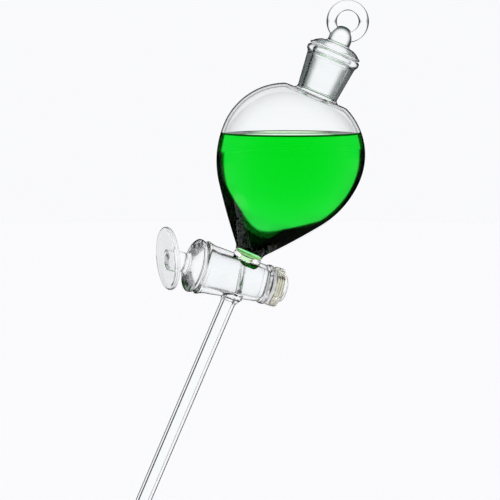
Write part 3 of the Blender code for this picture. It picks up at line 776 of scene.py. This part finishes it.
class FUNNEL_OT_vessel(bpy.types.Operator):
    """Blow the neck, bulb, throat, barrel and stem as one fused glass body"""
    bl_idname = "funnel.vessel"
    bl_label = "Glass Vessel"

    def execute(self, context):
        settings = context.scene.vessel_settings
        glass, sides = finish_named(clear_glass), settings.sides
        outside = neck_outline() + bulb_side(settings.bulb_radius, 0.0)
        outside += ease(outside[-1], (BOSS_RADIUS, BOSS_FOOT), 8) + [(0.0, BOSS_FOOT)]
        inside = socket_outline(settings) + bulb_inside(settings, 0.0) + [(0.0, THROAT_FLOOR)]
        body = turned("glass_vessel", outside, glass, FUNNEL, sides)
        barrel = turned("barrel_blank", barrel_outside(), glass, KEY, sides)
        stem = turned("stem_blank", stem_outline(settings), glass, FUNNEL, sides // 2, closed=True)
        slant_tip(stem)
        hollow = turned("bulb_hollow", inside, glass, FUNNEL, sides)
        bore = turned("key_bore", bore_outline(), glass, KEY, sides)
        hole = rod(SIDE_HOLE, THROAT_FLOOR + CUT_PAST, KEY_CENTRE - BARREL_LARGE - CUT_PAST)
        drill = turned("side_hole", hole, glass, FUNNEL, DRILL_SIDES)
        body = combine(body, [(barrel, 'UNION'), (stem, 'UNION'), (hollow, 'DIFFERENCE'),
                              (bore, 'DIFFERENCE'), (drill, 'DIFFERENCE')])
        tidy_mesh(body, SHARP)
        socket_foot = LIP_TOP - SOCKET_DEPTH + 0.2 * MM
        grind(body, finish_named(ground_glass), FUNNEL, lambda r, z: (
            socket_foot < z < LIP_TOP - SOCKET_MOUTH_ROUND and abs(r - socket_radius(z)) < ON_SOCKET))
        grind(body, finish_named(ground_glass), KEY, lambda r, z: (
            BARREL_TAIL < z < BARREL_LIP and abs(r - key_radius(z) - GRIND_GAP) < ON_KEY))
        mark_edges(body, FUNNEL, self.edge_start)
        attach(body, "glassware")
        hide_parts("neck_socket", "bulb", "throat_tube", "stopcock_barrel", "drain_stem")
        return {'FINISHED'}

    @staticmethod
    def edge_start(spot, _):
        # Where the painted edge shade starts in each zone, from the lip down to the stem.
        zones = ((LIP_TOP - LIP_HEIGHT, LIP_EDGES), (SHOULDER_TOP + 1.5 * MM, NECK_EDGES),
                 (THROAT_FLOOR, BULB_EDGES), (KEY_CENTRE - BARREL_LARGE - 2.0 * MM, BARREL_EDGES))
        return next((start for foot, start in zones if spot.z > foot), STEM_EDGES)


class FUNNEL_OT_liquid(bpy.types.Operator):
    """Fill the bulb and throat with liquid that stands level and climbs a little at the wall"""
    bl_idname = "funnel.liquid"
    bl_label = "Green Liquid"

    def execute(self, context):
        settings = context.scene.vessel_settings
        overlap = 0.08 * MM                 # the liquid reaches this far into the wall that it wets
        outline = [(0.0, SHOULDER_TOP - settings.bulb_wall + overlap)] + bulb_inside(settings, overlap)
        thread, thread_foot = SIDE_HOLE + overlap, KEY_CENTRE + key_radius(0.0) + 0.25 * MM
        outline += straight((thread, THROAT_FLOOR - overlap), (thread, thread_foot), 3) + [(0.0, thread_foot)]
        obj = turned("dyed_liquid", outline, finish_named(dyed_water), FUNNEL, settings.sides)
        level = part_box("green_liquid")[1].z
        self.cut_level(obj.data, level)
        tidy_mesh(obj, 60.0)
        mark_edges(obj, Matrix.Identity(4), lambda spot, normal: self.edge_start(spot, normal, level))
        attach(obj, "glassware")
        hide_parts("green_liquid")
        return {'FINISHED'}

    @staticmethod
    def edge_start(spot, normal, level):
        """The wet wall above the level is painted dark all round, and painted shade on the cone grows down to
        the throat.

        Both are painted shade, standing for light bent so far that the eye sees the dark ceiling through
        them.
        """
        if normal.z > 0.5 and spot.z > level - 0.01 * MM:
            return CLEAR_ALL_ROUND
        if spot.z > level:
            return DARK_ALL_ROUND
        height = (FUNNEL.inverted() @ spot).z
        if height < CONE_FOOT:
            return CLEAR_ALL_ROUND
        dims_from, dims_by, dims_over = -28.0 * MM, 0.2, 26.0 * MM
        dimmed = WET_EDGES + dims_by * (height - dims_from) / dims_over
        return max(DARK_ALL_ROUND, min(WET_EDGES, dimmed))

    def cut_level(self, mesh, level):
        """Cuts the liquid off level, with a rim that climbs the wall and dies away over a few millimetres."""
        climb, reach_in = 1.0 * MM, 1.5 * MM
        insets = (0.15, 0.35, 0.6, 0.9, 1.3, 1.8, 2.5, 3.4, 4.6, 6.2, 9.0, 14.0, 20.0)
        shape = bmesh.new()
        shape.from_mesh(mesh)
        for height, clear in ((level, False), (level + climb, True)):
            cut = bmesh.ops.bisect_plane(
                shape, geom=shape.verts[:] + shape.edges[:] + shape.faces[:], dist=1e-7,
                plane_co=(0.0, 0.0, height), plane_no=(0.0, 0.0, 1.0), clear_outer=clear)
        rim = [item for item in cut["geom_cut"] if isinstance(item, bmesh.types.BMVert)]
        middle = sum((vertex.co for vertex in rim), Vector()) / len(rim)
        rim.sort(key=lambda vertex: math.atan2(vertex.co.y - middle.y, vertex.co.x - middle.x))
        last = rim
        for inset in insets:
            ring = []
            for vertex in rim:
                inwards = (middle - vertex.co).xy.normalized().to_3d()
                spot = vertex.co + inwards * inset * MM
                spot.z = level + climb * math.exp(-inset * MM / reach_in)
                ring.append(shape.verts.new(spot))
            for i in range(len(rim)):
                follow = (i + 1) % len(rim)
                shape.faces.new((last[i], last[follow], ring[follow], ring[i]))
            last = ring
        centre = shape.verts.new((middle.x, middle.y, level))
        for i in range(len(rim)):
            shape.faces.new((last[i], last[(i + 1) % len(rim)], centre))
        shape.to_mesh(mesh)
        shape.free()


class FUNNEL_OT_stopper(bpy.types.Operator):
    """Turn the stopper: a ground plug, a domed head, a round post and a finger ring, all one glass"""
    bl_idname = "funnel.stopper"
    bl_label = "Glass Stopper"

    def execute(self, context):
        glass, sides = finish_named(clear_glass), context.scene.vessel_settings.sides
        post, post_top, post_fillet = 6.5 * MM, 76.3 * MM, 1.4 * MM
        fillet_top = 67.0 * MM
        ring_centre, ring_radius, bar = 79.6 * MM, 9.0 * MM, 2.9 * MM
        base, edge = LIP_TOP + 0.3 * MM, 0.75 * MM
        rim_top = base + edge * 2.0
        toe = 0.9 * MM
        plug_top, plug_foot = socket_radius(LIP_TOP) - GRIND_GAP, socket_radius(PLUG_FOOT) - GRIND_GAP
        outline = arc((0.0, post_top - post), post, 90.0, 0.0, 16)
        outline[0] = (0.0, post_top)
        outline += straight(outline[-1], (post, fillet_top), 3)
        outline += arc((post + post_fillet, fillet_top), post_fillet, 180.0, 262.0, 6)[1:]
        start = outline[-1]
        for i in range(1, 13):
            part = i / 12
            outline.append((start[0] + (HEAD_RADIUS - edge - start[0]) * part ** 0.85,
                            start[1] + (rim_top - start[1]) * part ** 1.6))
        outline += arc((HEAD_RADIUS - edge, base + edge), edge, 75.0, -90.0, 10)
        outline += [(HEAD_RADIUS - 3.2 * MM, base), (plug_top + 0.35 * MM, base)]
        outline += straight((plug_top, base - 0.4 * MM), (plug_foot, PLUG_FOOT + toe), 12)
        outline += arc((plug_foot - toe, PLUG_FOOT + toe), toe, -10.0, -90.0, 6)
        outline.append((0.0, PLUG_FOOT))
        body = turned("glass_stopper", outline, glass, FUNNEL, sides)
        hoop = arc((ring_radius, 0.0), bar, 180.0, -165.0, 23)      # the bar's section, closed on its start
        upright = Matrix.Translation((0.0, 0.0, ring_centre)) @ Matrix.Rotation(math.pi / 2.0, 4, 'X')
        ring = turned("finger_hoop", hoop, glass, FUNNEL @ upright, sides, closed=True)
        body = combine(body, [(ring, 'UNION')])
        tidy_mesh(body, SHARP)
        grind(body, finish_named(ground_glass), FUNNEL, lambda r, z: (
            PLUG_FOOT + 1.0 * MM < z < LIP_TOP - 0.4 * MM
            and abs(r - socket_radius(z) + GRIND_GAP) < ON_SOCKET))
        centre = FUNNEL @ Vector((0.0, 0.0, ring_centre))
        mark_edges(body, Matrix.Identity(4), lambda spot, _: self.edge_start(spot, centre, ring_radius, bar))
        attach(body, "stopper")
        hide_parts("stopper_plug", "stopper_head", "stopper_ring")
        return {'FINISHED'}

    @staticmethod
    def edge_start(spot, ring_centre, ring_radius, bar):
        """The hoop's bar gets broad painted dark edges where it stands upright; the post's painted edges are
        between the two.
        """
        post_foot, hoop_foot, near = 66.0 * MM, 68.0 * MM, 0.1 * MM
        out = spot - ring_centre
        height = (FUNNEL.inverted() @ spot).z
        on_hoop = out.xz.length > ring_radius - bar - near and abs(out.y) < bar + 2.0 * near
        if on_hoop and height > hoop_foot:
            return HOOP_EDGES + HOOP_CLEARS * abs(out.z) / out.xz.length
        return POST_EDGES if height > post_foot else PLUG_EDGES


class FUNNEL_OT_key(bpy.types.Operator):
    """Turn the stopcock's key: a ground plug with a cross bore, a collar, a thumb disc and a knob"""
    bl_idname = "funnel.key"
    bl_label = "Stopcock Key"

    def execute(self, context):
        glass, sides = finish_named(clear_glass), context.scene.vessel_settings.sides
        body = turned("glass_key", key_outline(), glass, KEY, sides)
        crooked = Matrix.Rotation(DISC_YAW, 4, 'X') @ Matrix.Rotation(DISC_TILT, 4, 'Y')
        disc_place = KEY @ Matrix.Translation((0.0, 0.0, DISC_CENTRE)) @ crooked
        disc = turned("disc_blank", disc_outline(), glass, disc_place, sides)
        across = KEY @ Matrix.Rotation(KEY_REST_TURN, 4, 'Z') @ Matrix.Rotation(math.pi / 2.0, 4, 'Y')
        half = 20.0 * MM
        drill = turned("key_drill", rod(KEY_BORE, half, -half), glass, across, DRILL_SIDES)
        body = combine(body, [(disc, 'UNION'), (drill, 'DIFFERENCE')])
        tidy_mesh(body, SHARP)
        grind(body, finish_named(ground_glass), KEY, lambda r, z: (
            PLUG_SMALL < z < PLUG_LARGE and abs(r - key_radius(z)) < ON_KEY))
        disc_back = disc_place.inverted()
        mark_edges(body, Matrix.Identity(4), lambda spot, _: self.edge_start(spot, disc_back))
        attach(body, "key")
        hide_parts("key_plug", "key_handle", "thumb_disc", "key_tail")
        return {'FINISHED'}

    @staticmethod
    def edge_start(spot, disc_back):
        """The disc's flat faces stay clear however far they turn; its rim and the collar get painted dark
        edges as shade.
        """
        half_thickness, face_radius = 2.0 * MM, 16.0 * MM
        on_disc = disc_back @ spot
        if abs(on_disc.z) < half_thickness:
            return CLEAR_ALL_ROUND if on_disc.xy.length < face_radius else DISC_RIM_EDGES
        return HANDLE_EDGES if (KEY.inverted() @ spot).z > COLLAR_FAR else KEY_EDGES


class FUNNEL_OT_retainer(bpy.types.Operator):
    """Make the washer and the ribbed soft ring that hold the key in its barrel"""
    bl_idname = "funnel.retainer"
    bl_label = "Washer and Retaining Ring"

    INNER = 5.7 * MM                        # both fit round the key's tail

    def execute(self, context):
        self.make_washer(context.scene.vessel_settings.sides)
        self.make_ring(context.scene.vessel_settings.sides)
        return {'FINISHED'}

    def make_washer(self, sides):
        near, far = reach("retaining_washer", KEY)[::-1]
        radius, bevel = widest("retaining_washer", KEY), 0.25 * MM
        outline = arc((radius - bevel, near - bevel), bevel, 90.0, 0.0, 4)
        outline += arc((radius - bevel, far + bevel), bevel, 0.0, -90.0, 4)
        outline += [(self.INNER, far), (self.INNER, near)]
        washer = turned("turned_washer", outline, finish_named(turned_fluoropolymer), KEY, sides, closed=True)
        tidy_mesh(washer, SHARP)
        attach(washer, "key")
        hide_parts("retaining_washer")

    def make_ring(self, sides):
        near, far = reach("retaining_ring", KEY)[::-1]
        radius, corner = widest("retaining_ring", KEY), 0.4 * MM
        grooves, groove_depth = 3, 0.45 * MM
        outline = arc((radius - corner, near - corner), corner, 90.0, 0.0, 4)
        outline += straight(outline[-1], (radius, far + corner), 42)
        outline += arc((radius - corner, far + corner), corner, 0.0, -90.0, 4)[1:]
        outline += [(self.INNER, far), (self.INNER, near)]
        ring = turned("ribbed_band", outline, finish_named(moulded_retainer), KEY, sides, closed=True,
                      ribs=(grooves, groove_depth, near - corner, far + corner))
        tidy_mesh(ring, 50.0)
        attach(ring, "key")
        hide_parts("retaining_ring")


# ---------------------------------------------------------------- stage

class FUNNEL_OT_stage(bpy.types.Operator):
    """Set up the pale floor, the bright surround and the camera"""
    bl_idname = "funnel.stage"
    bl_label = "Stage, Light and Camera"

    def execute(self, context):
        settings = context.scene.stage_settings
        self.make_floor(settings)
        self.make_world(context, settings)
        self.make_camera(context, settings)
        context.scene.view_settings.view_transform = 'Standard'
        context.scene.cycles.max_bounces = 32
        context.scene.cycles.transmission_bounces = 32
        context.scene.cycles.glossy_bounces = 12
        context.scene.cycles.caustics_refractive = True
        return {'FINISHED'}

    def make_floor(self, settings):
        radius = 7.0
        mesh = bpy.data.meshes.new("studio_floor")
        shape = bmesh.new()
        bmesh.ops.create_circle(shape, cap_ends=True, segments=96, radius=radius)
        shape.to_mesh(mesh)
        shape.free()
        mesh.transform(Matrix.Translation((0.0, 0.0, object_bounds()[0].z - settings.floor_gap)))
        paper = (*settings.floor_colour, 1.0)
        mesh.materials.append(new_material("matt_white_paper", {
            "Roughness": 0.9, "Base Color": paper, "Emission Color": paper,
            "Emission Strength": settings.floor_glow})[0])
        floor = link("studio_floor", mesh)
        floor.visible_glossy = False
        floor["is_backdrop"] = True

    def make_world(self, context, settings):
        """A bright surround at eye level that fades to a dark ceiling, with a dark flag at each back corner.

        The glass bends the ceiling and the flags into its dark edges. Nothing of it is mirrored in the glass.
        """
        bright, dark = 0.97, 0.02
        ceiling_soft = math.radians(4.0)
        flag_near, flag_far, flag_soft = (math.radians(turn) for turn in (40.0, 84.0, 5.0))
        flag_foot, flag_full = -0.12, -0.06         # as the height of the line of sight over its length
        world = bpy.data.worlds.new("studio_surround")
        context.scene.world = world
        world.use_nodes = True
        world.cycles_visibility.glossy = False
        tree = world.node_tree
        look = add_node(tree, 'ShaderNodeSeparateXYZ',
                        inputs={"Vector": add_node(tree, 'ShaderNodeTexCoord').outputs["Generated"]}).outputs
        fade = add_node(tree, 'ShaderNodeMapRange', {"interpolation_type": 'SMOOTHSTEP'},
                        {"Value": look["Z"], "From Min": math.sin(settings.bright_to - ceiling_soft),
                         "From Max": math.sin(settings.bright_to + ceiling_soft),
                         "To Min": bright, "To Max": dark})
        # The turn is measured from straight behind the funnel, to either side.
        side = add_node(tree, 'ShaderNodeMath', {"operation": 'ABSOLUTE'}, {0: look["X"]})
        turn = add_node(tree, 'ShaderNodeMath', {"operation": 'ARCTAN2'}, {0: side.outputs[0], 1: look["Y"]})
        near, far = [
            add_node(tree, 'ShaderNodeMapRange', {"interpolation_type": 'SMOOTHSTEP'},
                     {"Value": turn.outputs[0], "From Min": start, "From Max": end}).outputs["Result"]
            for start, end in ((flag_near, flag_near + flag_soft), (flag_far, flag_far - flag_soft))]
        above = add_node(tree, 'ShaderNodeMapRange',
                         inputs={"Value": look["Z"], "From Min": flag_foot, "From Max": flag_full})
        flag = near
        for share in (far, above.outputs["Result"]):
            flag = add_node(tree, 'ShaderNodeMath', {"operation": 'MULTIPLY'}, {0: flag, 1: share}).outputs[0]
        rest = add_node(tree, 'ShaderNodeMath', {"operation": 'MULTIPLY_ADD'}, {0: flag, 1: -bright, 2: 1.0})
        light = add_node(tree, 'ShaderNodeMath', {"operation": 'MULTIPLY'},
                         {0: fade.outputs["Result"], 1: rest.outputs[0]})
        shade = tree.nodes["Background"]
        shade.inputs["Color"].default_value = (*linear("#FDFDFF"), 1.0)
        tree.links.new(light.outputs[0], shade.inputs["Strength"])

    def make_camera(self, context, settings):
        view_centre = Vector((-0.0236, 0.0, -0.0553))
        data = bpy.data.cameras.new("studio_camera")
        data.lens = data.sensor_width / settings.view_width * settings.camera_distance
        data.clip_end = 20.0
        camera = bpy.data.objects.new("studio_camera", data)
        context.scene.collection.objects.link(camera)
        back = Vector((0.0, -math.cos(settings.camera_height), math.sin(settings.camera_height)))
        camera.location = view_centre + back * settings.camera_distance
        camera.rotation_euler = (-back).to_track_quat('-Z', 'Y').to_euler()
        context.scene.camera = camera


class FUNNEL_PT_panel(bpy.types.Panel):
    """Lists the funnel's sizes, its finishes and its pieces in the sidebar"""
    bl_idname = "FUNNEL_PT_panel"
    bl_label = "Separatory Funnel"
    bl_space_type = 'VIEW_3D'
    bl_region_type = 'UI'
    bl_category = "Funnel"

    def draw(self, context):
        scene = context.scene
        for owner in (scene.vessel_settings, scene.finish_settings, scene.stage_settings):
            box = self.layout.box()
            for name in owner.bl_rna.properties.keys():
                if name not in {"rna_type", "name"}:
                    box.prop(owner, name)
        for operator in OPERATORS:
            self.layout.operator(operator.bl_idname)


OPERATORS = (FUNNEL_OT_vessel, FUNNEL_OT_liquid, FUNNEL_OT_stopper, FUNNEL_OT_key, FUNNEL_OT_retainer,
             FUNNEL_OT_stage)
CLASSES = (VesselSettings, FinishSettings, StageSettings) + OPERATORS + (FUNNEL_PT_panel,)


def register():
    for item in CLASSES:
        bpy.utils.register_class(item)
    bpy.types.Scene.vessel_settings = PointerProperty(type=VesselSettings)
    bpy.types.Scene.finish_settings = PointerProperty(type=FinishSettings)
    bpy.types.Scene.stage_settings = PointerProperty(type=StageSettings)


def unregister():
    del bpy.types.Scene.stage_settings
    del bpy.types.Scene.finish_settings
    del bpy.types.Scene.vessel_settings
    for item in reversed(CLASSES):
        bpy.utils.unregister_class(item)


def main():
    register()
    bpy.ops.funnel.vessel()
    bpy.ops.funnel.liquid()
    bpy.ops.funnel.stopper()
    bpy.ops.funnel.key()
    bpy.ops.funnel.retainer()
    bpy.ops.funnel.stage()


if __name__ == "__main__":
    main()
